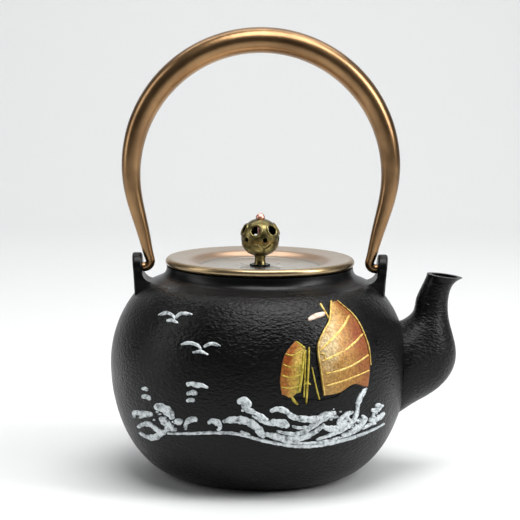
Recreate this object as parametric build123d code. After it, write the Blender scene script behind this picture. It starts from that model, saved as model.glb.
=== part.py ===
from build123d import *
from math import asin, cos, degrees, pi, radians, sin, sqrt
import os

# Cast iron teapot with a bail handle and a lift-off metal lid.
# Millimetres, +Z up along the bowl's axis, +X towards the spout, origin at the
# centre of the flat foot.

# Bowl
belly_r = 80.0            # widest radius
belly_z = 60.3            # height of the widest ring
belly_low_a = 40.0        # how far the lower curve comes in from the belly
belly_low_b = 61.0        # how far it reaches down
shoulder_a = 50.0         # the same for the upper curve
shoulder_b = 55.0
shoulder_z = 94.3         # where the shoulder turns over to the neck
neck_r = 50.0             # outside of the neck
neck_z = 112.2            # top of the neck
mouth_r = 44.4            # inside of the neck
iron_wall = 3.2
floor_t = 4.5
bottom_z = 24.0           # the one casting is three nodes, divided at these heights
crown_z = 90.0

# Spout
spout_wall = 2.6
strainer_hole_r = 2.2
strainer_pitch = 6.2
strainer_rows = 5

# Ears and handle
hinge_z = 111.0           # height of the handle's swing axis
ear_face_x = 63.0         # inner face of an ear at that height
ear_t = 4.7
ear_head_r = 7.8
ear_round = 1.2           # rounding of the head's rim
ear_foot = 17.0           # half width of an ear where it meets the shoulder
hook_r = 2.45
hook_bend = 3.2           # bend radius of the hook's centreline
bail_clearance = 0.3      # loose bail in a cast hole, all round
hook_tip_in = 0.4         # the hook ends this far inside the outer face of the ear
limb_gap = 0.9            # from the bend of the hook to the inner face of the ear
arch_r = 69.3             # centreline of the handle's round top
arch_z = 163.4            # height of its centre
arch_over = 14.5          # degrees that the round runs on past its widest point
bar_half_t = 6.85         # half thickness at the top of the arch
bar_half_w = 7.6          # half width there, front to back

# Lid
lid_r = 50.7
lid_roll_r = 2.1
lid_sheet = 1.3
lid_dish_r = 31.5
lid_dish_drop = 4.6       # how far the middle lies below the top of the rim
lid_seat_gap = 0.3
lid_play = 0.6            # locating ring inside the mouth, all round
lid_ring_t = 1.2
lid_ring_h = 7.0

# Knob
pin_r = 1.5
knob_running = 0.05       # the rivet turns in the lid's hole
seat_t = 1.0
stem_h = 4.7
stem_r = 3.5
ball_r = 10.3
ball_wall = 1.3
windows = 6
window_r = 2.7
window_turn = -15.0       # degrees, first window from the front
window_rise = 27.0        # degrees that a window looks up
rim_t = 0.65              # half thickness of a window's raised rim
peep_r = 1.3              # the smaller holes, one below each pair of windows
peep_rise = -3.0
pin_head_r = 2.5
pin_head_h = 3.2
washer_r = 5.0
washer_t = 1.0

# Relief
relief_h = 0.8

os.makedirs("parts", exist_ok=True)


def save(name, solid):
    export_step(solid, f"parts/{name}.step")


def pt(x, z):
    return (x, 0, z)


# Bowl: two quarter ellipses that share the belly, then a curve over the
# shoulder and up the neck.
def bowl_edges(inset, foot):
    fall = degrees(asin((belly_z - foot) / (belly_low_b - inset)))
    low = EllipticalCenterArc(
        (belly_r - belly_low_a, belly_z),
        belly_low_a - inset,
        belly_low_b - inset,
        start_angle=-fall,
        arc_size=fall,
    )
    rise = degrees(asin((shoulder_z - belly_z) / (shoulder_b - inset)))
    high = EllipticalCenterArc(
        (belly_r - shoulder_a, belly_z),
        shoulder_a - inset,
        shoulder_b - inset,
        start_angle=0,
        arc_size=rise,
    )
    return low, high


def shoulder_curve(start, slope, top_r, inset):
    drop = neck_z - shoulder_z
    out = start.X - top_r
    points = [
        (start.X, start.Y),
        (top_r + 0.64 * out, shoulder_z + 0.42 * drop - inset * 0.5),
        (top_r + 0.30 * out, shoulder_z + 0.60 * drop - inset * 0.7),
        (top_r + 0.07 * out, shoulder_z + 0.755 * drop - inset * 0.6),
        (top_r, neck_z),
    ]
    return Spline(points, tangents=[slope, (0, 1)])


def bowl_profile(inset, foot_z, top_r):
    low, high = bowl_edges(inset, foot_z)
    foot = low @ 0
    over = shoulder_curve(high @ 1, high % 1, top_r, inset)
    lines = [
        Line((0, foot.Y), (foot.X, foot.Y)),
        low,
        high,
        over,
        Line((top_r, neck_z), (0, neck_z)),
        Line((0, neck_z), (0, foot.Y)),
    ]
    return Plane.XZ * make_face(lines)


bowl_outside = revolve(bowl_profile(0, 0, neck_r), Axis.Z)
bowl_inside = revolve(bowl_profile(iron_wall, floor_t, mouth_r), Axis.Z)

holes = []
for row in range(strainer_rows):
    count = strainer_rows - abs(row - strainer_rows // 2)
    for n in range(count):
        y = (n - (count - 1) / 2) * strainer_pitch
        z = belly_z + (row - strainer_rows // 2) * strainer_pitch * sqrt(3) / 2
        hole = Cylinder(strainer_hole_r, belly_low_a, rotation=(0, 90, 0))
        holes.append(Pos(belly_r - iron_wall, y, z) * hole)

casting = bowl_outside - bowl_inside - holes
below = Cylinder(2 * belly_r, bottom_z, align=(Align.CENTER, Align.CENTER, Align.MIN))
above = Cylinder(2 * belly_r, neck_z, align=(Align.CENTER, Align.CENTER, Align.MIN))
above = Pos(0, 0, crown_z) * above
save("body_casting", casting - below - above)
save("body_bottom", casting & below)
save("body_shoulder", casting & above)


# Spout: egg-shaped sections between a point on its upper edge and one on its
# lower edge, from the root on the belly out and up to the lip.
# Each row is the upper point, the lower point and the half width, as steps
# from the belly's widest ring.
spout_stations = [
    ((-12.0, 19.7), (-12.0, -28.8), 22.0),
    ((-3.5, 22.5), (-1.5, -25.8), 21.8),
    ((1.0, 25.4), (11.0, -18.1), 19.6),
    ((3.0, 28.0), (21.5, -9.3), 16.6),
    ((3.7, 30.6), (26.5, 3.7), 13.6),
    ((4.1, 33.2), (24.0, 17.2), 10.8),
    ((4.9, 36.4), (21.5, 31.8), 8.8),
    ((6.6, 40.2), (22.4, 38.7), 8.2),
    ((9.9, 48.6), (29.1, 46.3), 8.8),
]


def spout_section(upper, lower, half, inset, lift=0.0):
    u = Vector(belly_r + upper[0], 0, belly_z + upper[1])
    v = Vector(belly_r + lower[0], 0, belly_z + lower[1])
    across = (v - u).normalized()
    out = Vector(0, 1, 0).cross(across) * -1
    plane = Plane(origin=(u + v) * 0.5 + out * lift, x_dir=across, z_dir=out)
    return plane * Ellipse((v - u).length / 2 - inset, half - inset)


spout_outer = loft([spout_section(*s, 0) for s in spout_stations])
spout_lip = spout_section(*spout_stations[-1], spout_wall, lift=0.6)
spout_inner = loft([spout_section(*s, spout_wall) for s in spout_stations] + [spout_lip])
spout = spout_outer - spout_inner - bowl_outside
save("spout", spout)


# Ears: an upright lug with a round head and a spreading foot, trimmed to the
# shoulder, its inner side filleted towards the neck.
ear_top = hinge_z + ear_head_r
ear_low = shoulder_z - 6.0


def ear_side():
    lean_in = 0.5
    lean_out = 1.1
    x = ear_face_x
    inner_foot = hinge_z - 3.4
    lines = [
        Line((x + lean_in, ear_top + 1), (x - 0.3, inner_foot)),
        ThreePointArc((x - 0.3, inner_foot), (x - 1.7, hinge_z - 5.6), (x - 5.4, hinge_z - 7.2)),
        Line((x - 5.4, hinge_z - 7.2), (x - 5.4, ear_low)),
        Line((x - 5.4, ear_low), (x + ear_t - 1.9, ear_low)),
        Line((x + ear_t - 1.9, ear_low), (x + ear_t + lean_out, ear_top + 1)),
        Line((x + ear_t + lean_out, ear_top + 1), (x + lean_in, ear_top + 1)),
    ]
    return Plane.XZ * make_face(lines)


def ear_front():
    foot = (ear_foot, ear_low)
    head = (ear_head_r, hinge_z)
    side = [
        Line((0, ear_low), foot),
        Spline([foot, (ear_head_r + 2.6, hinge_z - 9.5), head], tangents=[(-1, 1.2), (0, 1)]),
        RadiusArc(head, (0, ear_top), -ear_head_r),
        Line((0, ear_top), (0, ear_low)),
    ]
    half = make_face(side)
    return Plane.YZ * (half + mirror(half, Plane.YZ))


ear_block = extrude(ear_side(), 2 * ear_foot, both=True)
ear_shape = ear_block & extrude(ear_front(), belly_r + ear_t)
rim_edges = ear_shape.edges().filter_by(lambda e: e.center().Z > ear_low + 7 and e.length > ear_head_r)
ear_shape = fillet(rim_edges, ear_round)
ear_bore = Pos(ear_face_x, 0, hinge_z) * Cylinder(hook_r + bail_clearance, 40, rotation=(0, 90, 0))
ear_right = ear_shape - ear_bore - bowl_outside
save("ear_right", ear_right)
save("ear_left", mirror(ear_right, Plane.YZ))


# Handle: one half from the top of the arch to the hook, then its mirror image.
over = radians(arch_over)
hook_end_x = ear_face_x - limb_gap
hook_start = pt(hook_end_x - hook_bend * cos(over), hinge_z + hook_bend + hook_bend * sin(over))
arch_end = pt(arch_r * cos(over), arch_z - arch_r * sin(over))
arch_mid_turn = (pi / 2 - over) / 2
arch_mid = pt(arch_r * cos(arch_mid_turn), arch_z + arch_r * sin(arch_mid_turn))
limb_dir = pt(-sin(over), -cos(over))
bar_path = Wire([
    ThreePointArc(pt(0, arch_z + arch_r), arch_mid, arch_end),
    Spline([arch_end, hook_start], tangents=[limb_dir, limb_dir]),
])


def bar_section(t):
    swell = 1 - t ** 2.4
    thick = hook_r + (bar_half_t - hook_r) * swell
    wide = hook_r + (bar_half_w - hook_r) * swell
    plane = Plane(origin=bar_path @ t, x_dir=(0, 1, 0), z_dir=bar_path % t)
    return plane * Ellipse(wide, thick)


bar_steps = 14
bar = loft([bar_section(n / bar_steps) for n in range(bar_steps + 1)])
bend_centre = pt(hook_end_x, hinge_z + hook_bend)
bend_mid_turn = radians(270 - (90 + arch_over) / 2)
bend_mid = pt(
    hook_end_x + hook_bend * cos(bend_mid_turn),
    hinge_z + hook_bend + hook_bend * sin(bend_mid_turn),
)
hook_tip_x = ear_face_x + ear_t - hook_tip_in
hook_path = Wire([
    ThreePointArc(hook_start, bend_mid, pt(hook_end_x, hinge_z)),
    Line(pt(hook_end_x, hinge_z), pt(hook_tip_x, hinge_z)),
])
hook_plane = Plane(origin=hook_start, x_dir=(0, 1, 0), z_dir=limb_dir)
hook = sweep(hook_plane * Circle(hook_r), hook_path)
tip_edges = hook.edges().filter_by(lambda e: e.center().X > hook_tip_x - 0.01)
hook = fillet(tip_edges, 0.9)
half_handle = bar + hook
handle = half_handle + mirror(half_handle, Plane.YZ)
save("handle", handle)


# Lid: sheet dished towards the middle, its edge rolled outwards into a bead.
lid_bottom = neck_z + lid_seat_gap
lid_top = lid_bottom + 2 * lid_roll_r
dish_z = lid_top - lid_dish_drop
bead_x = lid_r - lid_roll_r
bead = Pos(bead_x, lid_bottom + lid_roll_r) * Circle(lid_roll_r)
slope_in = (lid_dish_r, dish_z + 1.4)
slope_out = (bead_x, lid_top - lid_sheet)
sheet = make_face(Polyline([
    (pin_r + knob_running, dish_z - lid_sheet),
    (lid_dish_r - 0.6, dish_z - lid_sheet),
    (lid_dish_r + 0.6, slope_in[1] - lid_sheet),
    (bead_x, slope_out[1] - 0.3),
    (bead_x, slope_out[1] + lid_sheet),
    slope_in,
    (lid_dish_r - 1.0, dish_z),
    (pin_r + knob_running, dish_z),
], close=True))
lid_plate = revolve(Plane.XZ * (sheet + bead), Axis.Z)
save("lid_plate", lid_plate)


def under_sheet(r):
    run = (r - lid_dish_r - 0.6) / (bead_x - lid_dish_r - 0.6)
    low = slope_in[1] - lid_sheet
    return low + run * (slope_out[1] - 0.3 - low)


# Locating ring: a short tube under the lid, cut on top to the sheet's slope.
ring_out = mouth_r - lid_play
ring_in = ring_out - lid_ring_t
ring_low = neck_z - lid_ring_h
lid_ring = revolve(Plane.XZ * make_face(Polyline([
    (ring_in, ring_low),
    (ring_out, ring_low),
    (ring_out, under_sheet(ring_out)),
    (ring_in, under_sheet(ring_in)),
], close=True)), Axis.Z)
save("lid_ring", lid_ring)

# Flower washer on the lid under the stem.
petal_count = 8
petal_r = 1.5
petals = [Rot(0, 0, 360 / petal_count * n) * Pos(4.0, 0) * Circle(petal_r) for n in range(petal_count)]
seat_face = Circle(4.2) + petals - Circle(pin_r + knob_running)
knob_seat = Pos(0, 0, dish_z) * extrude(seat_face, seat_t)
save("knob_seat", knob_seat)

# Stem: a short waisted foot.
stem_z = dish_z + seat_t
stem_top = stem_z + stem_h
knob_stem = revolve(Plane.XZ * make_face([
    Line((pin_r, stem_z), (stem_r, stem_z)),
    ThreePointArc((stem_r, stem_z), (stem_r * 0.8, stem_z + stem_h * 0.45), (stem_r * 0.92, stem_top)),
    Line((stem_r * 0.92, stem_top), (pin_r, stem_top)),
    Line((pin_r, stem_top), (pin_r, stem_z)),
]), Axis.Z)
save("knob_stem", knob_stem)

# Ball of the knob: a shell, its lower part grooved into lotus petals and its
# upper part pierced by round windows with raised rims.
flat_r = stem_r
ball_z = stem_top + sqrt(ball_r ** 2 - flat_r ** 2)
split_z = ball_z - 2.6
ball_top = ball_z + sqrt(ball_r ** 2 - (pin_head_r + 0.6) ** 2)
shell = Sphere(ball_r) - Sphere(ball_r - ball_wall) - Cylinder(pin_r, 3 * ball_r)
shell = Pos(0, 0, ball_z) * shell
wide_box = 4 * ball_r
lower_box = Pos(0, 0, stem_top) * Box(wide_box, wide_box, split_z - stem_top, align=(Align.CENTER, Align.CENTER, Align.MIN))
upper_box = Pos(0, 0, split_z) * Box(wide_box, wide_box, ball_top - split_z, align=(Align.CENTER, Align.CENTER, Align.MIN))
boss = Pos(0, 0, stem_top) * Cylinder(flat_r, 2.0, align=(Align.CENTER, Align.CENTER, Align.MIN))
boss = boss - Pos(0, 0, stem_top) * Cylinder(pin_r, 8)
ball_solid = Pos(0, 0, ball_z) * Sphere(ball_r)
knob_cup = (shell & lower_box) + (boss & ball_solid)
window_step = 360 / windows
for n in range(windows // 2):
    groove = Torus(ball_r + 0.25, 0.55, rotation=(90, 0, window_turn + window_step * (n + 0.5) - 90))
    knob_cup -= Pos(0, 0, ball_z) * groove
save("knob_cup", knob_cup)

rim_r = window_r + 0.45
rim_out = sqrt(ball_r ** 2 - rim_r ** 2)
knob_cage = shell & upper_box
rims = []
cuts = []
for n in range(windows):
    turn = window_turn + window_step * n
    aim = Pos(0, 0, ball_z) * Rot(0, 0, turn) * Rot(90 - window_rise, 0, 0)
    rims.append(aim * Pos(0, 0, rim_out - 0.1) * Torus(rim_r, rim_t))
    cuts.append(aim * Pos(0, 0, ball_r) * Cylinder(window_r, ball_r))
    low_aim = Pos(0, 0, ball_z) * Rot(0, 0, turn + window_step / 2) * Rot(90 - peep_rise, 0, 0)
    cuts.append(low_aim * Pos(0, 0, ball_r) * Cylinder(peep_r, ball_r))
knob_cage = (knob_cage - cuts) + [rim - shell for rim in rims]
knob_cage = knob_cage & Pos(0, 0, split_z) * Cylinder(ball_r + 1, ball_top - split_z, align=(Align.CENTER, Align.CENTER, Align.MIN))
save("knob_cage", knob_cage)

# Rivet from the peened end under the lid to the copper head on the knob.
under_z = dish_z - lid_sheet
pin_low = under_z - washer_t
dome_z = ball_top + pin_head_h - pin_head_r
knob_pin = revolve(Plane.XZ * make_face([
    Line((0, pin_low - 1.1), (1.6, pin_low - 1.1)),
    ThreePointArc((1.6, pin_low - 1.1), (2.3, pin_low - 0.7), (2.6, pin_low)),
    Line((2.6, pin_low), (pin_r, pin_low)),
    Line((pin_r, pin_low), (pin_r, ball_top)),
    Line((pin_r, ball_top), (pin_head_r * 0.85, ball_top)),
    Line((pin_head_r * 0.85, ball_top), (pin_head_r, dome_z)),
    ThreePointArc((pin_head_r, dome_z), (pin_head_r * cos(pi / 4), dome_z + pin_head_r * sin(pi / 4)), (0, dome_z + pin_head_r)),
    Line((0, dome_z + pin_head_r), (0, pin_low - 1.1)),
]), Axis.Z)
save("knob_pin", knob_pin)

knob_washer = Pos(0, 0, pin_low) * extrude(Circle(washer_r) - Circle(pin_r), washer_t)
save("knob_washer", knob_washer)


# Relief on the front of the bowl: flat outlines seen from the front, carried
# back onto a thin skin over the casting.
relief_skin = revolve(bowl_profile(-relief_h, 0, neck_r + relief_h), Axis.Z) - bowl_outside
scale_x = belly_r / 80.0
scale_z = belly_z / 60.3


def at(x, z):
    return (x * scale_x, z * scale_z)


def closed(*points):
    return make_face(Polyline([at(*p) for p in points], close=True))


def rounded(*points):
    return make_face(Spline([at(*p) for p in points], periodic=True))


def stroke(width, *points):
    line = Spline([at(*p) for p in points])
    ends = [Pos(*(line @ t)) * Circle(width / 2) for t in (0, 1)]
    return trace(line, width) + ends


def on_bowl(faces):
    flat = Sketch() + faces
    return extrude(Plane.XZ * flat, 2 * belly_r) & relief_skin


main_sail = make_face([
    Line(at(36.2, 100.6), at(38.6, 101.4)),
    Spline([at(38.6, 101.4), at(49.7, 92.7), at(56.0, 79.5), at(57.4, 68.9), at(55.6, 58.6)]),
    Spline([at(55.6, 58.6), at(46.8, 61.6), at(39.0, 57.1), at(32.4, 56.3)]),
    Spline([at(32.4, 56.3), at(31.0, 68.0), at(29.6, 81.5), at(32.4, 90.6), at(36.2, 100.6)]),
])
fore_sail = make_face([
    Spline([at(18.3, 84.6), at(12.6, 77.5), at(10.5, 67.0), at(11.3, 59.6)]),
    Spline([at(11.3, 59.6), at(15.4, 56.6), at(21.0, 59.6)]),
    Spline([at(21.0, 59.6), at(22.6, 70.5), at(23.2, 80.4)]),
    Line(at(23.2, 80.4), at(18.3, 84.6)),
])
mast = closed((24.2, 81.4), (25.6, 81.2), (24.9, 52.7), (22.9, 53.2), (23.9, 60.5))
spar = closed((26.1, 71.4), (27.0, 71.2), (31.2, 54.4), (30.1, 54.4))
boat_foot = closed((15.6, 57.0), (17.6, 56.6), (20.6, 52.9), (18.4, 52.4))
flag = rounded((23.6, 94.6), (28.8, 97.4), (33.4, 97.0), (34.2, 94.8), (28.8, 94.0), (25.0, 93.4))
pole = stroke(1.2, (30.8, 100.6), (33.2, 97.4), (35.2, 94.6))
hull = closed(
    (18.6, 56.2), (31.3, 54.0), (39.1, 55.2), (42.3, 57.8), (47.4, 59.8), (52.6, 57.0),
    (50.1, 46.6), (42.7, 47.7), (31.4, 49.0), (21.5, 49.6),
)
gull_far = [
    stroke(1.5, (-52.2, 92.4), (-47.3, 94.2), (-43.8, 93.2), (-43.4, 91.2)),
    stroke(1.5, (-43.0, 92.4), (-39.8, 94.8), (-33.8, 95.1)),
    stroke(1.5, (-47.6, 90.4), (-44.3, 91.2), (-41.2, 90.4)),
]
gull_near = [
    stroke(1.7, (-39.8, 80.5), (-34.9, 81.8), (-30.6, 80.8), (-29.0, 78.6)),
    stroke(1.7, (-28.0, 80.4), (-24.0, 82.3), (-19.1, 81.5)),
    stroke(1.7, (-33.6, 77.3), (-29.3, 78.1), (-25.3, 76.9)),
]
cloud_bars = [
    stroke(2.6, (-36.4, 60.9), (-30.0, 61.9), (-25.4, 60.6)),
    stroke(2.2, (-36.4, 56.4), (-30.6, 57.5)),
    stroke(2.2, (-36.4, 52.5), (-32.2, 53.7)),
    stroke(2.4, (-59.6, 54.9), (-56.8, 55.1)),
    stroke(2.4, (-60.2, 50.6), (-54.9, 51.3)),
]
waves = [
    stroke(2.4, (-46.6, 33.2), (-35.7, 35.4), (-20.1, 37.6), (-9.1, 37.2), (4.3, 33.4), (23.5, 29.9),
           (43.1, 31.0), (59.4, 33.4), (66.0, 34.7)),
    stroke(3.2, (-64.0, 37.4), (-63.6, 39.8), (-57.5, 41.8), (-52.6, 43.2)),
    stroke(4.6, (-53.2, 46.6), (-48.6, 47.2), (-44.2, 44.8), (-43.6, 41.6)),
    stroke(3.0, (-62.8, 32.4), (-59.6, 35.0), (-55.2, 36.6), (-51.8, 34.0), (-47.1, 33.0)),
    stroke(3.0, (-62.0, 28.0), (-57.4, 28.2), (-52.2, 30.6), (-50.0, 34.4)),
    stroke(4.2, (-50.2, 40.8), (-44.4, 38.6)),
    stroke(4.0, (-41.2, 42.4), (-39.6, 40.2)),
    stroke(2.6, (-36.6, 37.6), (-36.2, 41.3), (-34.0, 43.1), (-30.6, 43.5)),
    stroke(2.6, (-25.2, 43.1), (-21.8, 43.4), (-19.9, 42.2), (-21.0, 39.4)),
    stroke(4.2, (-17.6, 44.9), (-11.4, 45.4), (-4.8, 43.2), (-0.4, 39.2), (1.8, 36.4)),
    stroke(3.4, (-10.4, 54.6), (-7.0, 54.4), (-6.4, 50.8), (-2.7, 49.6), (1.7, 46.8), (4.6, 44.4)),
    stroke(4.0, (0.4, 42.6), (6.4, 38.6), (14.0, 34.6), (24.0, 33.0), (34.0, 33.2)),
    stroke(3.6, (4.6, 45.4), (8.5, 44.4), (13.2, 43.2)),
    stroke(3.4, (5.6, 50.2), (9.4, 50.6), (13.8, 49.4), (16.6, 46.2), (21.6, 45.2), (33.7, 45.4), (39.8, 46.4)),
    stroke(2.8, (15.6, 35.0), (21.7, 37.0), (27.2, 39.7), (32.6, 42.8), (37.0, 44.6)),
    stroke(2.6, (30.5, 33.4), (37.3, 35.6), (45.8, 37.4), (50.0, 40.3), (50.2, 45.1), (50.2, 50.0), (53.6, 56.0)),
    stroke(3.4, (33.8, 40.2), (37.8, 38.9), (42.3, 40.2), (46.2, 43.0)),
    stroke(4.0, (43.4, 33.6), (49.0, 35.2), (53.6, 38.2), (53.2, 41.4)),
    stroke(3.2, (57.6, 38.0), (61.8, 38.8), (63.2, 41.6), (61.6, 44.8), (62.8, 46.8)),
]

main_sail_solid = on_bowl([main_sail])
fore_sail_solid = on_bowl([fore_sail, boat_foot])
mast_solid = on_bowl([mast, spar])
wave_solid = on_bowl(waves)
save("relief_main_sail", main_sail_solid)
save("relief_fore_sail", fore_sail_solid)
save("relief_mast", mast_solid)
save("relief_waves", wave_solid)
save("relief_pennant", on_bowl([flag, pole]) - main_sail_solid)
save("relief_hull", on_bowl([hull]) - [main_sail_solid, fore_sail_solid, mast_solid, wave_solid])
save("relief_gulls", on_bowl(gull_far + gull_near))
save("relief_clouds", on_bowl(cloud_bars))
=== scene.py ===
import math

import bmesh
import bpy
import numpy as np
from mathutils import Matrix, Vector


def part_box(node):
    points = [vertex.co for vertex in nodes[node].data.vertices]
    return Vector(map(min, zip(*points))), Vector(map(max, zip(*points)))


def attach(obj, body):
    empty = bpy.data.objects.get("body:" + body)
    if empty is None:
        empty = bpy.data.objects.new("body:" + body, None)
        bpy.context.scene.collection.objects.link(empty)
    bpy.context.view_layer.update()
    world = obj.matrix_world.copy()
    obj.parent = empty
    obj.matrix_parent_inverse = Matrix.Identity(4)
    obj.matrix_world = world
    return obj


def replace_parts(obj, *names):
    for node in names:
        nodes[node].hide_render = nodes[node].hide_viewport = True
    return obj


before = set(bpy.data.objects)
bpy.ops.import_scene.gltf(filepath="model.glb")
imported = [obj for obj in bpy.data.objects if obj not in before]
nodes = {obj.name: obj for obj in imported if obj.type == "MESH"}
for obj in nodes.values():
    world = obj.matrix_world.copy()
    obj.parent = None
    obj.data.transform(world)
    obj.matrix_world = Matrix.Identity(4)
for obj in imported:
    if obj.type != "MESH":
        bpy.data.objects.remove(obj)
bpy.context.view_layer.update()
mm = 0.001
noise = np.random.default_rng(7)


def srgb(hexText):
    # sRGB hex to linear: c/12.92 below 0.04045, ((c+0.055)/1.055)^2.4 above
    c = np.array([int(hexText[i:i + 2], 16) for i in (1, 3, 5)]) / 255
    linear = np.where(c <= 0.04045, c / 12.92, ((c + 0.055) / 1.055) ** 2.4)
    return (*linear.tolist(), 1.0)


def addNode(tree, kind, inputs=None, settings=None):
    # one node: inputs maps a socket to the socket that feeds it or to a plain value
    node = tree.nodes.new(kind)
    for key, value in (settings or {}).items():
        setattr(node, key, value)
    for key, value in (inputs or {}).items():
        if isinstance(value, bpy.types.NodeSocket):
            tree.links.new(value, node.inputs[key])
        else:
            node.inputs[key].default_value = value
    return node


def newMaterial(name, **values):
    # a material, its tree, its shader with plain socket values set, and its Object coordinates
    mat = bpy.data.materials.new(name)
    mat.use_nodes = True
    tree = mat.node_tree
    shader = tree.nodes["Principled BSDF"]
    for key, value in values.items():
        shader.inputs[key.replace("_", " ")].default_value = value
    place = addNode(tree, "ShaderNodeTexCoord").outputs["Object"]
    return mat, tree, shader, place


def rampStops(node, stops):
    ramp = node.color_ramp
    while len(ramp.elements) < len(stops):
        ramp.elements.new(0.5)
    for element, (spot, colour) in zip(ramp.elements, stops):
        element.position = spot
        element.color = srgb(colour)
    return node.outputs["Color"]


def ramped(tree, value, stops):
    return rampStops(addNode(tree, "ShaderNodeValToRGB", {"Fac": value}), stops)


def cloudNoise(tree, place, size, detail, roughness=0.5):
    # noise whose clouds are about size mm across
    inputs = {"Vector": place, "Scale": 1 / (size * mm), "Detail": detail, "Roughness": roughness}
    return addNode(tree, "ShaderNodeTexNoise", inputs).outputs["Fac"]


def mapRange(tree, value, low, high, toLow=0.0, toHigh=1.0, kind="LINEAR"):
    inputs = {"Value": value, "From Min": low, "From Max": high, "To Min": toLow, "To Max": toHigh}
    return addNode(tree, "ShaderNodeMapRange", inputs, {"interpolation_type": kind}).outputs["Result"]


def maths(tree, operation, *items):
    return addNode(tree, "ShaderNodeMath", dict(enumerate(items)), {"operation": operation}).outputs[0]


def vectorMaths(tree, operation, *items):
    return addNode(tree, "ShaderNodeVectorMath", dict(enumerate(items)), {"operation": operation})


def mixed(tree, share, first, second, blend="MIX"):
    # sockets 0, 6 and 7 of the mix node are its factor and its two colours
    settings = {"data_type": "RGBA", "blend_type": blend}
    return addNode(tree, "ShaderNodeMix", {0: share, 6: first, 7: second}, settings).outputs[2]


def bumped(tree, shader, height, strength, depth):
    # depth in mm
    bump = addNode(tree, "ShaderNodeBump", {"Strength": strength, "Distance": depth * mm, "Height": height})
    tree.links.new(bump.outputs["Normal"], shader.inputs["Normal"])


def dress(names, mat):
    for name in names:
        nodes[name].data.materials.clear()
        nodes[name].data.materials.append(mat)


def gridFaces(rows, cols, closeRows=False, closeCols=True, start=0):
    # a quad between each grid point and its neighbours, wrapping where a direction is closed
    i = np.arange(rows if closeRows else rows - 1)[:, None]
    j = np.arange(cols if closeCols else cols - 1)[None, :]
    i2, j2 = (i + 1) % rows, (j + 1) % cols
    quads = np.stack([i * cols + j, i * cols + j2, i2 * cols + j2, i2 * cols + j], axis=-1)
    return quads.reshape(-1, 4) + start


def meshObject(name, points, faces, body, mat, uv=None, attributes=None):
    mesh = bpy.data.meshes.new(name)
    mesh.from_pydata(points.reshape(-1, 3), [], faces)
    for key, values in (attributes or {}).items():
        layer = mesh.attributes.new(key, "FLOAT", "POINT")
        layer.data.foreach_set("value", np.ravel(values).astype(np.float32))
    if uv is not None:
        layer = mesh.uv_layers.new(name="surface")
        corner = np.zeros(len(mesh.loops), np.int32)
        mesh.loops.foreach_get("vertex_index", corner)
        layer.data.foreach_set("uv", uv.reshape(-1, 2)[corner].ravel().astype(np.float32))
    work = bmesh.new()
    work.from_mesh(mesh)
    bmesh.ops.remove_doubles(work, verts=work.verts, dist=1e-7)
    bmesh.ops.recalc_face_normals(work, faces=work.faces)
    work.to_mesh(mesh)
    work.free()
    mesh.shade_smooth()
    mesh.materials.append(mat)
    obj = bpy.data.objects.new(name, mesh)
    bpy.context.scene.collection.objects.link(obj)
    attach(obj, body)
    return obj


def curveThrough(points, count):
    # Catmull-Rom through the points, then spaced evenly by length
    p = np.array(points, float)
    q = np.vstack([2 * p[0] - p[1], p, 2 * p[-1] - p[-2]])
    t = np.linspace(0, 1, 24, endpoint=False)[:, None]
    a, b, c, d = (q[k:len(q) - 3 + k, None, :] for k in range(4))
    square, cube = 2 * a - 5 * b + 4 * c - d, 3 * b - a - 3 * c + d
    fine = 0.5 * (2 * b + (c - a) * t + square * t ** 2 + cube * t ** 3)
    fine = np.vstack([fine.reshape(-1, p.shape[1]), p[-1:]])
    along = np.r_[0, np.cumsum(np.linalg.norm(np.diff(fine, axis=0), axis=1))]
    even = np.linspace(0, along[-1], count)
    return np.stack([np.interp(even, along, column) for column in fine.T], axis=1)


def smoothStep(low, high, x):
    t = np.clip((x - low) / (high - low), 0, 1)
    return t * t * (3 - 2 * t)


def turned(profile, segments, shift=None):
    # a closed profile of (radius, height) in mm turned about Z: x = r cos a, y = r sin a, z = h;
    # shift(r, h, a) gives further steps outwards and upwards
    a = np.linspace(0, 2 * np.pi, segments, endpoint=False)[None, :]
    r, h = profile[:, :1] + 0 * a, profile[:, 1:] + 0 * a
    if shift:
        out, up = shift(r, h, a)
        r, h = r + out, h + up
    return np.stack([r * np.cos(a), r * np.sin(a), h], axis=-1) * mm


# Cast iron, sand cast in a mould stamped with a fine leathery skin, then baked with black
# lacquer. The eye sees near black, with small grey-violet glints on the crowns of the skin.
iron = {
    "colour": "#060607",
    "roughness": 0.31,
    "specular": 0.19,
    "skinGrain": 0.9,       # mm, height of one ripple
    "skinStretch": 2.0,     # a ripple is this much longer sideways
    "skinDepth": 0.36,      # mm
    "neckLine": 104.5,      # mm, above it the neck is smooth
    "neckSkin": 0.10,       # share of the skin's depth there
}


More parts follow.
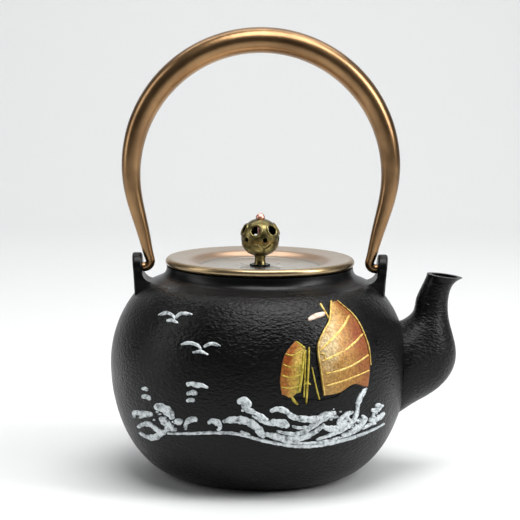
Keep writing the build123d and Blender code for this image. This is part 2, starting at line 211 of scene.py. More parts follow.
def ironMaterial(name, depth):
    mat, tree, shader, place = newMaterial(name, Base_Color=srgb(iron["colour"]), Roughness=iron["roughness"],
                                           Specular_IOR_Level=iron["specular"])
    fine = 1 / (iron["skinGrain"] * mm)
    wide = fine / iron["skinStretch"]
    stretched = addNode(tree, "ShaderNodeMapping", {"Vector": place, "Scale": (wide, wide, fine)}).outputs[0]
    ripples = {"Vector": stretched, "Scale": 0.8, "Detail": 2.0, "Roughness": 0.5, "Distortion": 0.8}
    skin = addNode(tree, "ShaderNodeTexNoise", ripples).outputs["Fac"]
    pits = {"Vector": stretched, "Scale": 0.8, "Smoothness": 0.5}
    cells = addNode(tree, "ShaderNodeTexVoronoi", pits, {"feature": "SMOOTH_F1"}).outputs["Distance"]
    height = maths(tree, "MULTIPLY_ADD", cells, 0.6, skin)
    level = addNode(tree, "ShaderNodeSeparateXYZ", {"Vector": place}).outputs["Z"]
    line = iron["neckLine"]
    share = mapRange(tree, level, (line - 1.0) * mm, (line + 0.5) * mm, 1.0, iron["neckSkin"], "SMOOTHSTEP")
    bumped(tree, shader, maths(tree, "MULTIPLY", height, share), 1.0, depth)
    # the lacquer wears a shade duller in patches a few centimetres across
    patch = cloudNoise(tree, place, 22, 3.0)
    dull = mapRange(tree, patch, 0.3, 0.7, iron["roughness"] - 0.05, iron["roughness"] + 0.09)
    tree.links.new(dull, shader.inputs["Roughness"])
    return mat


castIron = ironMaterial("lacqueredCastIron", iron["skinDepth"])
dress(("body_casting", "body_bottom", "body_shoulder", "spout", "relief_hull"), castIron)
dress(("ear_left", "ear_right"), ironMaterial("lacqueredCastIronSmooth", 0.08))
print("iron done")


def metalMaterial(name, colour, patina, roughness, size, grain=0.0, grainSize=3.0, coat=0.0):
    # a metal whose colour drifts to its patina in clouds of the given size in mm
    mat, tree, shader, place = newMaterial(name, Metallic=1.0, Roughness=roughness,
                                           Coat_Weight=coat, Coat_Roughness=0.12)
    cloud = cloudNoise(tree, place, size, 3.0, 0.55)
    tree.links.new(ramped(tree, cloud, [(0.35, colour), (0.65, patina)]), shader.inputs["Base Color"])
    if grain:
        bumped(tree, shader, cloudNoise(tree, place, grainSize, 2.0), 0.5, grain)
    return mat, tree, shader, place


def dressMetal(names, *look, **finish):
    dress(names, metalMaterial(*look, **finish)[0])


# Bronze, forged to a bar, bent, browned and waxed: warm brown, with long bright lines along the bar
dressMetal(["handle"], "brownedBronze", "#9f7d57", "#7b5e40", 0.30, 26, grain=0.10, grainSize=9, coat=0.15)
# Antique brass, cast, its hollows left dark by the bath
dressMetal(["knob_stem", "knob_washer"], "antiqueBrass", "#7f7550", "#554c2c", 0.34, 2.6,
           grain=0.10, grainSize=1.4)
# Iron washer, blued nearly black
dressMetal(["knob_seat"], "bluedSteel", "#33383a", "#1d2021", 0.42, 3)
# Copper rivet, hammered and rubbed pink
dressMetal(["knob_pin"], "pinkCopper", "#eab5a4", "#d99a88", 0.36, 2)
dressMetal(["lid_ring"], "agedBrassSheet", "#a8906a", "#836c45", 0.35, 8)
print("metals done")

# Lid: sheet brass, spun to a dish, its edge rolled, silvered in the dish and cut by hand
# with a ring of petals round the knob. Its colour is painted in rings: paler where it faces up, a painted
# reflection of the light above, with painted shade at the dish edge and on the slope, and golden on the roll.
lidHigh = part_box("lid_plate")[1]
lidRim = lidHigh.x / mm
lidTop = lidHigh.z / mm
lid = {
    "roll": 2.1,
    "dishRadius": 31.5, "dishDrop": 4.6, "sheet": 1.3, "bore": 1.7,
    "shelf": 38.5, "shelfDrop": 1.15,      # where the rim's gentle slope turns down into the dish
    "petals": 8, "petalFrom": 5.8, "petalTo": 15.0, "petalWide": 2.5, "cutWide": 0.34, "cutDeep": 0.22,
    "unevenness": 0.07,
}


def lidProfile():
    # up from the bore along the top of the sheet to the roll, round the roll, and back along the underside
    top, low = lidTop, lidTop - lid["dishDrop"]
    rollX, rollZ = lidRim - lid["roll"], lidTop - lid["roll"]
    fine = np.arange(lid["bore"], lid["petalTo"] + 1.2, 0.22)
    inner = np.stack([fine, low + 0 * fine], axis=1)
    dish, shelf, shelfTop = lid["dishRadius"], lid["shelf"], top - lid["shelfDrop"]
    slope = curveThrough([(18.0, low), (27.0, low), (dish - 0.5, low), (dish + 0.5, low + 0.45),
                          (dish + 1.7, low + 0.75), (dish + 3.2, low + 1.5), (shelf - 1.2, shelfTop - 0.35),
                          (shelf + 0.6, shelfTop + 0.06), (43.0, top - 0.62), (rollX - 1.6, top - 0.12)], 70)
    a = np.linspace(np.pi / 2, -np.pi * 0.80, 40)
    roll = np.stack([rollX + lid["roll"] * np.cos(a), rollZ + lid["roll"] * np.sin(a)], axis=1)
    under = slope[::-4] - np.array([0.0, lid["sheet"]])
    under = under[under[:, 0] < rollX - 2.4]
    back = np.array([(18.0, low - lid["sheet"]), (lid["bore"], low - lid["sheet"]), (lid["bore"], low)])
    return np.vstack([inner, slope, roll, under, back])


def petalCut(r, a):
    # 1 on the outline and the vein of each petal, 0 elsewhere: the outline is where the distance
    # from the petal's middle line equals its half width, which swells as a sine to a point outside
    turn = (a * lid["petals"] / (2 * np.pi) + 0.5) % 1 - 0.5
    side = np.abs(turn) * 2 * np.pi / lid["petals"] * r
    along = np.clip((r - lid["petalFrom"]) / (lid["petalTo"] - lid["petalFrom"]), 0, 1)
    half = lid["petalWide"] * np.sin(np.pi * along ** 0.8)
    inside = (r > lid["petalFrom"]) & (r < lid["petalTo"])
    outline = 1 - smoothStep(0.5, 1.0, np.abs(side - half) / lid["cutWide"])
    vein = (1 - smoothStep(0.4, 0.9, side / lid["cutWide"])) * (along < 0.55) * (along > 0.1)
    seedAt = lid["petalFrom"] + 0.72 * (lid["petalTo"] - lid["petalFrom"])
    seed = 1 - smoothStep(0.55, 1.0, np.hypot(side, r - seedAt) / 0.55)
    return np.where(inside, np.maximum(np.maximum(outline, vein), seed), 0)


def lidShift(r, h, a):
    # the cuts go down into the top face; slow waves of hand work stay under a tenth of a millimetre
    up = (h > lidTop - lid["dishDrop"] - 0.05) & (r < 20)
    wave = np.sin(3 * a + 0.7) * 0.5 + np.sin(7 * a + 0.13 * r) * 0.3 + np.sin(11 * a - 0.2 * r) * 0.2
    far = smoothStep(7, 30, r) * (1 - smoothStep(lidRim - 4, lidRim - 2.5, r))
    return 0 * r, -lid["cutDeep"] * petalCut(r, a) * up + lid["unevenness"] * wave * far


lidMat, tree, shader, place = metalMaterial("silveredBrassSheet", "#bcae9d", "#a8957f", 0.30, 11,
                                            grain=0.07, grainSize=6)
flatPlace = vectorMaths(tree, "MULTIPLY", place, (1, 1, 0)).outputs[0]
radius = vectorMaths(tree, "LENGTH", flatPlace).outputs["Value"]
# rings by radius: silver dish made paler as painted reflection, a dark painted shade line where the dish
# meets the slope, a darker brown slope as painted shade, a paler shelf as painted highlight, and the golden
# roll as the brass's own tone
toneAndPaintedLightRings = ramped(tree, maths(tree, "DIVIDE", radius, lidRim * mm), [
    (0.0, "#c4c3bd"), (0.60, "#c0beb6"), (0.632, "#7f7a72"), (0.655, "#a58870"), (0.72, "#a5846a"),
    (0.79, "#b5a291"), (0.93, "#b0a08c"), (0.985, "#9a835a"),
])
cloudy = shader.inputs["Base Color"].links[0].from_socket
cut = addNode(tree, "ShaderNodeAttribute", settings={"attribute_name": "cut"}).outputs["Fac"]
tone = mixed(tree, cut, mixed(tree, 0.75, cloudy, toneAndPaintedLightRings), srgb("#1f1e1c"))
tree.links.new(tone, shader.inputs["Base Color"])
lidPoints = turned(lidProfile(), 720, lidShift)
lidRadius = np.hypot(lidPoints[..., 0], lidPoints[..., 1]) / mm
lidAngle = np.arctan2(lidPoints[..., 1], lidPoints[..., 0])
lidCut = petalCut(lidRadius, lidAngle) * (lidPoints[..., 2] / mm > lidTop - lid["dishDrop"] - 0.4)
lidFaces = gridFaces(*lidPoints.shape[:2])
lidObj = meshObject("lid", lidPoints, lidFaces, "lid", lidMat, attributes={"cut": lidCut})
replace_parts(lidObj, "lid_plate")
print("lid done")

# Knob: the cup is a ring of lotus petals under the pierced upper half
cupLow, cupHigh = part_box("knob_cup")
cup = {
    "ball": 10.3, "wall": 1.3,
    "petals": 6, "turn": -15.0,     # degrees, as the windows above
    "petalRise": 0.42, "groove": 0.38, "stem": 3.25,
}
ballZ = cupLow.z / mm + math.sqrt(cup["ball"] ** 2 - 3.5 ** 2)


def cupShift(r, h, a):
    # petal: raised along its middle, falling to a groove at its edges, which close to a point at the rim
    step = 2 * np.pi / cup["petals"]
    turn = np.abs(((a - math.radians(cup["turn"] - 90)) / step + 0.5) % 1 - 0.5) * 2
    rise = np.clip((h - cupLow.z / mm) / (cupHigh.z / mm - cupLow.z / mm), 0, 1)
    edge = 0.97 - 0.62 * smoothStep(0.55, 1.02, rise)
    body = np.clip(1 - turn / edge, 0, 1)
    outer = r > np.sqrt(np.clip((cup["ball"] - 0.4) ** 2 - (h - ballZ) ** 2, 0, None))
    swell = cup["petalRise"] * np.sin(np.pi / 2 * body) ** 0.5
    swell -= cup["groove"] * np.exp(-((turn - edge) / 0.075) ** 2)
    fade = smoothStep(0.02, 0.22, rise) * (1 - smoothStep(0.93, 1.0, rise))
    return outer * fade * swell, 0 * r


def cupProfile():
    # outside of the ball from the stem to the split, then the inner wall back down to the bore
    low, high = cupLow.z / mm, cupHigh.z / mm
    a = np.linspace(math.asin((low - ballZ) / cup["ball"]), math.asin((high - ballZ) / cup["ball"]), 70)
    outer = np.stack([cup["ball"] * np.cos(a), ballZ + cup["ball"] * np.sin(a)], axis=1)
    hollow = cup["ball"] - cup["wall"]
    b = np.linspace(math.asin((high - ballZ) / hollow), -np.pi / 2 + 0.5, 20)
    inner = np.stack([hollow * np.cos(b), ballZ + hollow * np.sin(b)], axis=1)
    foot = np.array([(1.55, low + 2.0), (1.55, low), (outer[0, 0], low)])
    return np.vstack([outer, inner, foot])


# inside the hollow ball the colour is painted near black, painted shade in the hollows over their dark
# patina: colour by distance from the ball's centre
brassMat, tree, shader, place = metalMaterial("antiqueBrassKnob", "#877c52", "#5b5231", 0.33, 2.2,
                                              grain=0.08, grainSize=1.2)
away = vectorMaths(tree, "DISTANCE", place, (0, 0, ballZ * mm)).outputs["Value"]
outOfHollowShade = mapRange(tree, away, (cup["ball"] - 0.75) * mm, (cup["ball"] + 0.22) * mm, kind="SMOOTHSTEP")
bright = shader.inputs["Base Color"].links[0].from_socket
# near black #1c170c inside the ball: painted shade, over the patina
tree.links.new(mixed(tree, outOfHollowShade, srgb("#1c170c"), bright), shader.inputs["Base Color"])
dress(["knob_cage"], brassMat)
cupPoints = turned(cupProfile(), 300, cupShift)
cupFaces = gridFaces(*cupPoints.shape[:2], closeRows=True)
cupObj = meshObject("knob_lotus_cup", cupPoints, cupFaces, "knob", brassMat)
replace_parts(cupObj, "knob_cup")
print("knob done")

# Outside of the bowl, which the relief is worked on
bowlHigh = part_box("body_casting")[1]
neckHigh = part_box("body_shoulder")[1]
bowl = {
    "bellyRadius": bowlHigh.y / mm, "bellyHeight": 60.3,
    "lowIn": 40.0, "lowReach": 61.0,        # quarter ellipse below the belly
    "highIn": 50.0, "highReach": 55.0,      # quarter ellipse above it
    "shoulder": 94.3, "neckRadius": 50.0, "neckTop": neckHigh.z / mm,
}


def bowlRadius(z):
    # two quarter ellipses that share the belly, then a curve over the shoulder to the neck, all in mm
    r, h = bowl["bellyRadius"], bowl["bellyHeight"]
    low = r - bowl["lowIn"] * (1 - np.sqrt(np.clip(1 - ((h - z) / bowl["lowReach"]) ** 2, 0, 1)))
    high = r - bowl["highIn"] * (1 - np.sqrt(np.clip(1 - ((z - h) / bowl["highReach"]) ** 2, 0, 1)))
    start = r - bowl["highIn"] * (1 - math.sqrt(1 - ((bowl["shoulder"] - h) / bowl["highReach"]) ** 2))
    out, rise = start - bowl["neckRadius"], bowl["neckTop"] - bowl["shoulder"]
    over = curveThrough([(bowl["neckRadius"] + f * out, bowl["shoulder"] + g * rise)
                         for f, g in ((1, 0), (0.64, 0.42), (0.30, 0.60), (0.07, 0.755), (0, 1))], 80)
    return np.where(z < h, low, np.where(z < bowl["shoulder"], high, np.interp(z, over[:, 1], over[:, 0])))


def onBowl(x, z, lift):
    # the point of the bowl that is seen at (x, z) from the front, moved out along the bowl's normal by lift
    r = bowlRadius(z)
    slope = (bowlRadius(z + 0.2) - bowlRadius(z - 0.2)) / 0.4
    size = np.sqrt(1 + slope ** 2)
    turn = np.arcsin(np.clip(x / r, -1, 1))
    out = r + lift / size
    return np.stack([out * np.sin(turn), -out * np.cos(turn), z - lift * slope / size], axis=-1) * mm


relief = {
    "sunk": 0.35,           # mm that the underside lies in the casting
    "height": 0.85,         # mm that a broad stroke stands up
    "perMm": 2.4, "round": 15,
    "waver": 0.16,          # share by which a stroke's width wavers
    "slim": 0.9,            # share of its drawn width that a stroke keeps
    "lumps": 0.16,          # mm, the uneven top of hand modelling
}


def raisedStroke(points, widths, height, base, waver):
    # a rounded ridge along a curve: flat point = centre + side w(s) v, lift = h(s) (1 - |v|^2.4)^(1/2.4),
    # w and h falling to 0 round the ends, both wavering as sums of sines
    length = np.linalg.norm(np.diff(np.array(points), axis=0), axis=1).sum()
    rows = int(max(14, length * relief["perMm"]))
    centre = curveThrough(points, rows)
    ahead = np.gradient(centre, axis=0)
    ahead /= np.linalg.norm(ahead, axis=1, keepdims=True)
    side = np.stack([-ahead[:, 1], ahead[:, 0]], axis=1)
    s = np.linspace(0, 1, rows)
    phase = noise.uniform(0, 2 * np.pi, 6)
    wave = np.sin(s * length * 1.1 + phase[0]) + 0.7 * np.sin(s * length * 2.3 + phase[1])
    wide = np.interp(s, np.linspace(0, 1, len(widths)), widths) / 2 * relief["slim"]
    shaped = wide * (1 + waver * 0.6 * wave)
    ends = np.clip(np.minimum(s, 1 - s) * length / np.maximum(wide, 0.2), 0, 1)
    cap = np.sqrt(1 - (1 - ends) ** 2)
    top = relief["round"]
    v = np.r_[np.cos(np.linspace(0, np.pi, top)), -0.6, 0.0, 0.6]
    crown = np.r_[np.clip(1 - np.abs(v[:top]) ** 2.4, 0, 1) ** (1 / 2.4), 0, 0, 0]
    flat = centre[:, None, :] + side[:, None, :] * (shaped * cap)[:, None, None] * v[None, :, None]
    lumps = np.sin(s * length * 2.9 + phase[2])[:, None] * np.sin(2.2 * v + phase[3])[None, :]
    lumps = lumps + 0.5 * np.sin(s * length * 4.7 + phase[4])[:, None]
    bumpy = 1 + relief["lumps"] / height * lumps * waver / 0.16
    slim = np.clip(wide / 0.9, 0.45, 1) ** 0.6
    lift = base + height * (slim * cap ** 0.7)[:, None] * crown[None, :] * bumpy
    lift = np.where(crown[None, :] > 0, lift, base - relief["sunk"])
    return onBowl(flat[..., 0], flat[..., 1], lift)


def strokesObject(name, strokes, mat, height=None, base=0.0, waver=None):
    height = height or relief["height"]
    waver = relief["waver"] if waver is None else waver
    grids = [raisedStroke(path, widths, height, base, waver) for widths, path in strokes]
    starts = np.cumsum([0] + [g.shape[0] * g.shape[1] for g in grids])
    faces = np.vstack([gridFaces(*g.shape[:2], start=n) for g, n in zip(grids, starts)])
    obj = meshObject(name, np.vstack([g.reshape(-1, 3) for g in grids]), faces, "pot", mat)
    return obj


def foamObject(name, drops, mat):
    # many small domes: flat point = centre + r sin(t) (cos p, sin p), lift = height r cos(t);
    # drops holds rows of x, z and r
    d = np.array(drops)
    t = np.linspace(0, np.pi / 2, 5)[None, :, None]
    p = np.linspace(0, 2 * np.pi, 9, endpoint=False)[None, None, :]
    x, z, r = (d[:, k, None, None] for k in range(3))
    flatX, flatZ = x + r * np.sin(t) * np.cos(p), z + r * np.sin(t) * np.sin(p) * 0.9
    lift = -0.15 + (0.55 * r + 0.75) * np.cos(t) ** 0.8 + 0 * p
    grid = onBowl(flatX, flatZ, lift)
    faces = np.vstack([gridFaces(5, 9, start=45 * n) for n in range(len(d))])
    obj = meshObject(name, grid, faces, "pot", mat)
    return obj


# Paints: metal powder in lacquer, brushed on the raised work by hand. Thin places and brush lifts
# let the black through, and the powder gives a soft sparkle.
def paintMaterial(name, stops, size, roughness, metallic, grain=0.9):
    mat, tree, shader, place = newMaterial(name, Roughness=roughness, Metallic=metallic, IOR=1.5)
    cloud = cloudNoise(tree, place, size, 4.0, 0.68)
    tree.links.new(ramped(tree, cloud, stops), shader.inputs["Base Color"])
    bumped(tree, shader, cloudNoise(tree, place, grain, 3.0), 0.8, 0.22)
    return mat


silverPaint = paintMaterial("silverPaint", [(0.30, "#34383a"), (0.40, "#969da0"), (0.55, "#d9dfe1")],
                            2.6, 0.44, 0.25)
yellowPaint = paintMaterial("goldPaint", [(0.30, "#86692c"), (0.46, "#c3a04a"), (0.60, "#dec473")],
                            2.0, 0.38, 0.3)
olivePaint = paintMaterial("paleGoldPaint", [(0.32, "#6d5f17"), (0.46, "#a8942d"), (0.62, "#c9b74e")],
                           2.0, 0.40, 0.3)
pinkPaint = paintMaterial("creamPinkPaint", [(0.30, "#b08a74"), (0.48, "#d6b9a6"), (0.60, "#e4d3c2")],
                          2.4, 0.42, 0.1)

silverPieces = {
    "gulls": [
        ([0.7, 1.5, 1.7, 1.5, 1.3], [(-52.2, 92.4), (-47.3, 94.2), (-43.8, 93.2), (-43.4, 91.2)]),
        ([1.1, 1.6, 1.8, 0.6], [(-43.0, 92.4), (-39.8, 94.8), (-33.8, 95.1)]),
        ([1.1, 1.8, 1.0], [(-47.6, 90.6), (-44.3, 91.2), (-41.2, 90.4)]),
        ([0.7, 1.7, 2.0, 1.8, 1.5], [(-39.8, 80.5), (-34.9, 81.8), (-30.6, 80.8), (-29.0, 78.6)]),
        ([1.2, 1.8, 2.0, 0.6], [(-28.0, 80.4), (-24.0, 82.3), (-19.1, 81.5)]),
        ([1.0, 2.0, 0.9], [(-33.6, 77.3), (-29.3, 78.1), (-25.3, 76.9)]),
    ],
    "clouds": [
        ([2.6, 2.4, 2.8, 3.2, 2.0, 1.2],
         [(-36.6, 61.0), (-33.8, 61.9), (-31.2, 61.4), (-28.4, 61.6), (-25.2, 60.4)]),
        ([2.2, 3.0, 2.2], [(-36.4, 56.2), (-33.4, 57.4), (-30.6, 57.0)]),
        ([2.2, 2.6, 1.8], [(-36.4, 52.5), (-34.2, 53.6), (-32.0, 53.2)]),
        ([1.6, 2.4, 1.8], [(-59.8, 54.6), (-58.2, 55.6), (-56.6, 54.6)]),
        ([2.4, 3.0, 2.0], [(-60.2, 50.4), (-57.6, 51.4), (-54.9, 50.2)]),
    ],
    "waves": [
        ([1.4, 1.7, 2.0, 1.9, 2.0, 2.2, 2.4, 2.2, 1.2],
         [(-46.6, 33.4), (-35.7, 35.2), (-20.1, 37.4), (-9.1, 37.0), (4.3, 33.4),
          (23.5, 29.9), (43.1, 31.0), (59.4, 33.6), (66.0, 35.0)]),
        ([1.0, 1.6, 2.0, 1.6, 0.8], [(14.0, 32.6), (25.0, 31.6), (36.0, 32.0), (46.0, 34.2), (54.0, 37.6)]),
        ([1.6, 3.0, 3.8, 3.2], [(-64.4, 37.2), (-64.2, 40.4), (-59.5, 41.4), (-54.0, 42.6)]),
        ([2.6, 5.6, 5.8, 3.4], [(-53.6, 46.4), (-49.6, 47.2), (-45.2, 45.0), (-43.4, 41.6)]),
        ([1.6, 2.8, 3.4, 3.0, 2.4],
         [(-62.8, 32.2), (-59.6, 35.2), (-55.6, 36.4), (-51.8, 34.2), (-47.1, 33.0)]),
        ([1.6, 3.0, 3.2, 2.4], [(-62.2, 29.6), (-57.4, 28.4), (-52.4, 30.6), (-49.8, 34.2)]),
        ([1.4, 2.6, 3.0, 2.2], [(-56.0, 27.0), (-52.6, 29.2), (-49.6, 32.4), (-46.6, 35.8)]),
        ([3.4, 4.8, 3.8], [(-50.8, 41.6), (-47.4, 39.6), (-44.6, 37.0)]),
        ([2.6, 4.2, 3.4], [(-47.8, 35.6), (-45.0, 36.8), (-42.0, 36.0)]),
        ([2.4, 4.2, 2.6], [(-42.4, 42.2), (-40.4, 41.0), (-38.6, 42.6)]),
        ([1.6, 2.4, 3.4, 3.6], [(-36.8, 37.0), (-36.6, 40.6), (-34.0, 43.1), (-30.6, 43.5)]),
        ([1.6, 3.4, 3.8, 2.6, 1.4],
         [(-25.6, 42.0), (-23.0, 43.4), (-19.9, 42.2), (-19.3, 39.8), (-21.0, 38.4)]),
        ([1.8, 4.0, 4.6, 4.8, 4.6, 3.2],
         [(-18.2, 43.4), (-12.4, 44.8), (-5.8, 44.2), (-1.0, 41.2), (1.4, 37.8), (3.2, 35.4)]),
        ([1.4, 2.2, 1.4], [(-9.2, 38.8), (-6.4, 37.6), (-3.8, 36.6)]),
        ([2.6, 4.6, 4.4, 3.2, 2.4, 2.8, 2.0],
         [(-10.6, 53.4), (-8.0, 55.2), (-5.6, 53.4), (-5.8, 50.6), (-2.7, 49.2), (1.7, 46.8), (5.0, 44.6)]),
        ([1.2, 2.2, 2.6, 2.0], [(-3.4, 47.4), (1.0, 45.0), (4.4, 43.4), (8.0, 42.8)]),
        ([2.0, 4.4, 5.0, 3.6], [(4.2, 43.4), (8.6, 43.6), (13.2, 42.6), (15.0, 40.6)]),
        ([2.4, 4.4, 4.4, 3.8, 3.0, 2.2],
         [(3.0, 37.6), (8.4, 36.2), (14.0, 34.4), (21.0, 34.6), (27.6, 37.0), (33.6, 41.6)]),
        ([1.2, 2.2, 2.4, 1.6], [(9.0, 39.2), (14.4, 37.6), (19.6, 37.4), (24.6, 39.6)]),
        ([1.2, 2.0, 1.4], [(16.6, 41.6), (20.6, 40.4), (24.4, 40.8)]),
        ([1.8, 3.4, 3.0, 3.4, 4.0, 4.4, 4.8, 3.6],
         [(5.6, 49.4), (9.4, 50.8), (13.8, 49.4), (16.8, 46.6), (21.6, 45.2), (29.0, 44.4),
                                                 (34.0, 46.0), (39.4, 47.0)]),
        ([1.6, 3.0, 3.6, 3.4, 2.6], [(17.6, 36.2), (22.4, 38.2), (27.4, 41.0), (31.4, 43.6), (35.4, 45.0)]),
        ([1.6, 2.2, 2.8, 3.0, 2.8, 2.2],
         [(29.0, 33.2), (36.4, 35.0), (43.4, 37.4), (48.0, 41.0), (50.0, 45.2), (50.4, 50.0)]),
        ([1.8, 3.2, 3.6, 1.8], [(50.2, 48.4), (51.2, 52.2), (52.8, 55.2), (54.6, 57.4)]),
        ([2.2, 3.6, 4.0, 3.4, 2.2], [(32.0, 40.6), (35.8, 38.6), (40.4, 38.6), (43.6, 41.4), (45.6, 44.6)]),
        ([1.4, 2.6, 3.2, 2.2], [(39.6, 41.0), (42.0, 43.6), (45.6, 45.8), (48.4, 46.2)]),
        ([2.2, 3.6, 4.2, 3.4, 2.2], [(41.6, 33.6), (47.0, 34.6), (51.6, 37.2), (54.4, 40.6), (52.6, 43.4)]),
        ([1.4, 2.4, 1.6], [(53.0, 35.4), (57.4, 37.2), (61.0, 37.0)]),
        ([2.2, 3.2, 3.6, 2.6], [(56.6, 40.2), (60.2, 39.0), (63.6, 40.2), (65.2, 42.0)]),
        ([2.0, 3.2, 3.0, 2.2], [(57.6, 45.4), (60.0, 44.4), (62.2, 45.2), (62.8, 47.6)]),
    ],
}
for piece, strokes in silverPieces.items():
    calm = 0.09 if piece == "gulls" else None
    obj = strokesObject("silver_" + piece, strokes, silverPaint, waver=calm)
    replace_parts(obj, "relief_" + piece)

# foam: drops scattered round a few places where the waves break; rows are x, z, spread, count
splashes = [
    (-49.0, 41.0, 3.6, 16), (-60.0, 40.0, 3.2, 9), (-44.0, 37.5, 2.8, 12), (-8.0, 52.0, 2.2, 7),
    (36.5, 45.5, 3.0, 9), (44.0, 41.5, 4.2, 20), (51.5, 52.0, 2.3, 16), (53.5, 55.6, 1.7, 8),
    (52.5, 40.5, 3.2, 14), (61.0, 43.6, 2.8, 16), (48.0, 37.0, 3.4, 10), (61.4, 47.0, 1.5, 5),
]
drops = np.vstack([np.c_[noise.normal((x, z), spread * 0.55, (count, 2)), noise.uniform(0.42, 0.95, count)]
                   for x, z, spread, count in splashes])
foamObject("silver_foam", drops, silverPaint)
print("silver relief done")

# Sails: a patch between a luff and a leech, swelling in the middle, with battens laid over it
sails = {
    "main_sail": {
        "luff": [(32.4, 56.2), (30.6, 68.0), (28.9, 80.8), (31.8, 87.8), (35.0, 92.6), (36.7, 100.8)],
        "leech": [(55.7, 57.6), (56.6, 68.9), (55.0, 79.5), (48.8, 92.5), (38.6, 101.2)],
        "humpAt": 0.66, "hump": 3.6, "swell": 0.8, "height": 0.7,
        "paint": [(0.18, "#b08848"), (0.42, "#ad803a"), (0.62, "#a2702f"), (0.84, "#975a28")],
        # the whitish spot here is a painted highlight; the rust spot is the paint's own colour
        "paintedHighlight": ("#d8c294", (0.20, 0.54), 0.24), "rust": ("#8e3f1a", (0.86, 0.56), 0.15),
        "battens": [
            ([0.7, 1.6, 1.8, 1.1], [(29.6, 78.6), (36.4, 84.0), (42.0, 89.2), (45.4, 94.0)]),
            ([0.7, 1.6, 1.7, 0.9], [(31.0, 73.8), (38.6, 76.4), (46.2, 80.0), (52.4, 84.8)]),
            ([0.7, 1.2, 1.2, 0.8], [(32.9, 67.6), (40.0, 68.6), (47.7, 70.8), (55.4, 74.4)]),
            ([0.7, 1.1, 1.0, 0.7], [(33.2, 61.6), (41.6, 63.2), (50.0, 65.2), (55.8, 66.8)]),
            ([1.3, 1.1, 0.8, 0.7, 0.7, 0.7],
             [(36.2, 101.2), (35.2, 92.8), (32.0, 87.6), (29.3, 80.8), (31.0, 68.0), (32.8, 56.8)]),
            ([0.4, 0.5, 0.5, 0.4], [(39.2, 100.9), (48.9, 92.0), (54.9, 79.4), (56.4, 68.9)]),
            ([0.6, 0.8], [(30.0, 77.6), (32.4, 77.4)]),
            ([0.6, 0.7], [(32.5, 77.2), (32.6, 74.2)]),
        ],
    },
    "fore_sail": {
        "luff": [(11.6, 57.8), (10.6, 63.0), (10.7, 68.0), (12.6, 77.5), (18.0, 84.4)],
        "leech": [(20.9, 58.8), (22.0, 66.0), (22.8, 74.0), (23.1, 80.5)],
        "humpAt": 0.45, "hump": -2.0, "swell": 0.5, "height": 0.65,
        "paint": [(0.15, "#ad6c2c"), (0.40, "#bd8a3c"), (0.66, "#b8963f"), (0.88, "#a39237")],
        # the whitish spot here is a painted highlight; the rust spot is the paint's own colour
        "paintedHighlight": ("#d9b45a", (0.62, 0.70), 0.22), "rust": ("#9a4616", (0.22, 0.62), 0.24),
        "battens": [
            ([0.6, 1.0, 0.8], [(12.8, 78.2), (17.0, 77.4), (22.2, 79.8)]),
            ([0.6, 1.0, 0.8], [(11.8, 73.2), (16.2, 71.8), (22.2, 73.6)]),
            ([0.6, 1.0, 0.8], [(11.0, 68.0), (15.8, 66.8), (21.6, 68.0)]),
            ([0.6, 0.9, 0.7], [(11.0, 62.2), (15.6, 61.4), (20.8, 62.6)]),
            ([0.6, 1.1, 0.9], [(18.0, 84.0), (20.6, 82.2), (22.8, 80.4)]),
            ([0.8, 1.3, 1.4, 1.2], [(22.2, 79.0), (21.6, 72.0), (20.8, 65.0), (19.9, 59.4)]),
        ],
    },
}


def sailPatch(shape, rows=120, cols=90):
    # point = (1 - u) luff(v) + u leech(v), the foot bowed by a hump; the lift rises from a rounded edge
    # and swells as sin(pi u) across and in one shallow belly between each two battens
    v, u = np.linspace(0, 1, rows), np.linspace(0, 1, cols)
    uu, vv = np.meshgrid(u, v)
    luff, leech = (curveThrough(shape[key], rows)[:, None, :] for key in ("luff", "leech"))
    flat = (1 - uu)[..., None] * luff + uu[..., None] * leech
    flat[..., 1] += shape["hump"] * np.exp(-((uu - shape["humpAt"]) / 0.22) ** 2) * (1 - vv) ** 7
    rim = np.minimum(np.minimum(uu, 1 - uu) / 0.05, np.minimum(vv, 1 - vv) / 0.035)
    rim = (1 - (1 - np.clip(rim, 0, 1)) ** 3) ** (1 / 3)
    panels = 0.12 * np.abs(np.sin(np.pi * (vv * 5 - 0.9 * uu)))
    belly = np.sin(np.pi * uu) ** 1.4 * (0.4 + 0.6 * np.sin(np.pi * vv))
    full = shape["height"] + panels + shape["swell"] * belly
    top = onBowl(flat[..., 0], flat[..., 1], rim * (full + relief["sunk"]) - relief["sunk"])
    under = onBowl(flat[..., 0], flat[..., 1], 0 * full - relief["sunk"])[:, ::-1]
    uv = np.stack([uu, vv], axis=-1)
    return np.concatenate([top, under], axis=1), np.concatenate([uv, uv[:, ::-1]], axis=1)


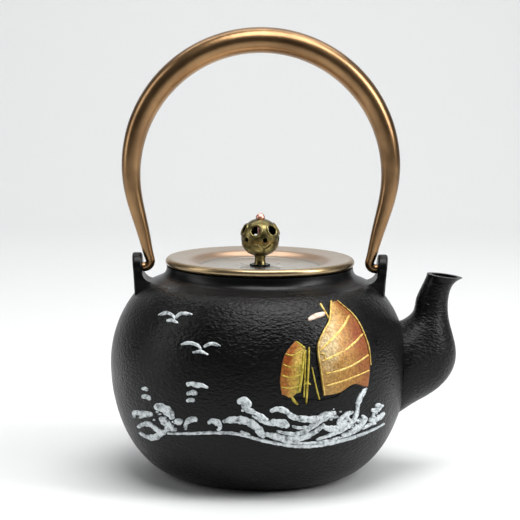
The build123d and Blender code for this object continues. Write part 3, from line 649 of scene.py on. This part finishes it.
def sailMaterial(name, shape):
    # gold paint that turns to rust towards the leech, with a whitish spot of painted highlight on the sail,
    # brushed in short strokes
    mat, tree, shader, place = newMaterial(name, Roughness=0.42, Metallic=0.3, IOR=1.5)
    uv = addNode(tree, "ShaderNodeUVMap", settings={"uv_map": "surface"}).outputs["UV"]
    acrossU = addNode(tree, "ShaderNodeSeparateXYZ", {"Vector": uv}).outputs["X"]
    cloud = cloudNoise(tree, place, 5, 4.0, 0.62)
    spread = maths(tree, "SUBTRACT", maths(tree, "MULTIPLY_ADD", cloud, 1.1, acrossU), 0.55)
    tone = ramped(tree, spread, shape["paint"])
    # the first spot is a painted highlight, the second the paint's own rust
    for colour, (atU, atV), reach in (shape["paintedHighlight"], shape["rust"]):
        away = vectorMaths(tree, "DISTANCE", uv, (atU, atV, 0)).outputs["Value"]
        away = maths(tree, "MULTIPLY_ADD", cloud, 0.5, away)
        near = mapRange(tree, away, reach + 0.36, reach * 0.3 + 0.2, 0.0, 0.85, "SMOOTHSTEP")
        tone = mixed(tree, near, tone, srgb(colour))
    brush = cloudNoise(tree, place, 1.1, 3.0)
    dim = mapRange(tree, brush, 0.38, 0.62, 0.5, 1.1)
    tree.links.new(mixed(tree, 0.8, tone, dim, "MULTIPLY"), shader.inputs["Base Color"])
    bumped(tree, shader, brush, 0.8, 0.2)
    return mat


for name, shape in sails.items():
    grid, uv = sailPatch(shape)
    canvas = sailMaterial(name + "_paint", shape)
    sail = meshObject(name, grid, gridFaces(*grid.shape[:2]), "pot", canvas, uv=uv)
    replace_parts(sail, "relief_" + name)
    over = shape["height"] + shape["swell"] * 0.55
    paint = yellowPaint if name == "main_sail" else olivePaint
    strokesObject(name + "_battens", shape["battens"], paint,
                  height=0.5, base=over, waver=0.05)

rigging = [
    ([1.1, 1.2, 1.3, 1.1], [(25.0, 81.3), (24.7, 70.0), (24.2, 60.0), (23.9, 52.6)]),
    ([0.7, 0.9, 0.8], [(23.3, 80.0), (23.0, 68.0), (22.6, 56.0)]),
    ([0.7, 0.8, 0.9], [(26.5, 71.3), (28.6, 62.0), (30.6, 54.3)]),
    ([1.2, 1.7, 1.2], [(16.2, 57.4), (17.6, 55.0), (19.8, 52.5)]),
    ([0.6, 0.9, 0.6], [(22.4, 62.8), (24.2, 63.6), (26.2, 62.6)]),
]
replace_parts(strokesObject("rigging", rigging, olivePaint, waver=0.06), "relief_mast")
pennant = [([1.9, 2.8, 2.7, 2.2], [(24.4, 93.6), (27.2, 94.8), (30.4, 95.6), (33.4, 95.9)])]
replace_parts(strokesObject("pennant", pennant, pinkPaint, waver=0.05), "relief_pennant")
pole = [([1.2, 0.9, 1.0], [(30.6, 100.8), (33.0, 97.2), (35.4, 93.4)])]
strokesObject("pennant_pole", pole, yellowPaint, height=1.0, waver=0.05)
print("sails done")

# Studio: a pale floor that sweeps up behind, soft light from above, both sides and the backdrop
studio = {
    "floor": "#dbdcdc", "world": "#e6ebee", "worldStrength": 0.08,
    "target": 115.2, "distance": 1000.0,    # mm
    "elevation": 7.7, "roll": 0.55,         # degrees
    "lens": 128.74,
}
lamps = {
    "overhead": {"place": (0.10, -0.22, 0.95), "aim": (0, 0, 0.1), "size": (0.75, 0.5), "power": 9},
    "left": {"place": (-1.1, -0.15, 0.55), "aim": (0, 0, 0.14), "size": (0.4, 1.0), "power": 3.6},
    "right": {"place": (1.0, -0.35, 0.75), "aim": (0, 0, 0.14), "size": (0.35, 0.9), "power": 12},
    "backdrop": {"place": (0.0, 0.7, 1.7), "aim": (0, 1.6, 0.5), "size": (2.6, 0.7), "power": 22},
    "floor": {"place": (0.0, 1.0, 1.8), "aim": (0, 0.8, 0), "size": (2.4, 0.8), "power": 5},
}


def sweptFloor():
    # flat to the bend, then a quarter circle up into an upright backdrop
    bend, radius, back, front, half = 1.1, 0.7, 2.8, -2.6, 3.2
    a = np.linspace(0, np.pi / 2, 32)
    y = np.r_[front, bend + radius * np.sin(a), bend + radius]
    z = np.r_[0, radius * (1 - np.cos(a)), back]
    side = np.array([-half, half])
    grid = np.stack(np.broadcast_arrays(side[None, :], y[:, None], z[:, None]), axis=-1)
    mesh = bpy.data.meshes.new("floor")
    mesh.from_pydata(grid.reshape(-1, 3), [], gridFaces(len(y), 2, closeCols=False)[:, ::-1])
    mesh.shade_smooth()
    mat, tree, shader, place = newMaterial("paleCard", Base_Color=srgb(studio["floor"]), Roughness=0.85)
    mesh.materials.append(mat)
    obj = bpy.data.objects.new("floor", mesh)
    bpy.context.scene.collection.objects.link(obj)


sweptFloor()
world = bpy.data.worlds.new("studio")
world.use_nodes = True
world.node_tree.nodes["Background"].inputs["Color"].default_value = srgb(studio["world"])
world.node_tree.nodes["Background"].inputs["Strength"].default_value = studio["worldStrength"]
bpy.context.scene.world = world
bpy.context.scene.view_settings.view_transform = "Standard"

for name, lamp in lamps.items():
    data = bpy.data.lights.new(name, "AREA")
    data.shape = "RECTANGLE"
    data.size, data.size_y = lamp["size"]
    data.energy = lamp["power"]
    obj = bpy.data.objects.new(name, data)
    place = Vector(lamp["place"])
    aim = (Vector(lamp["aim"]) - place).to_track_quat("-Z", "Y").to_matrix().to_4x4()
    obj.matrix_world = Matrix.Translation(place) @ aim
    bpy.context.scene.collection.objects.link(obj)

tilt = math.radians(studio["elevation"])
reach = studio["distance"]
eye = Vector((0, -reach * math.cos(tilt), studio["target"] + reach * math.sin(tilt))) * mm
lens = bpy.data.cameras.new("camera")
lens.sensor_width = 36
lens.lens = studio["lens"]
cameraObj = bpy.data.objects.new("camera", lens)
cameraObj.matrix_world = (Matrix.Translation(eye) @ Matrix.Rotation(math.pi / 2 - tilt, 4, "X")
                          @ Matrix.Rotation(math.radians(studio["roll"]), 4, "Z"))
bpy.context.scene.collection.objects.link(cameraObj)
bpy.context.scene.camera = cameraObj
print("studio done")
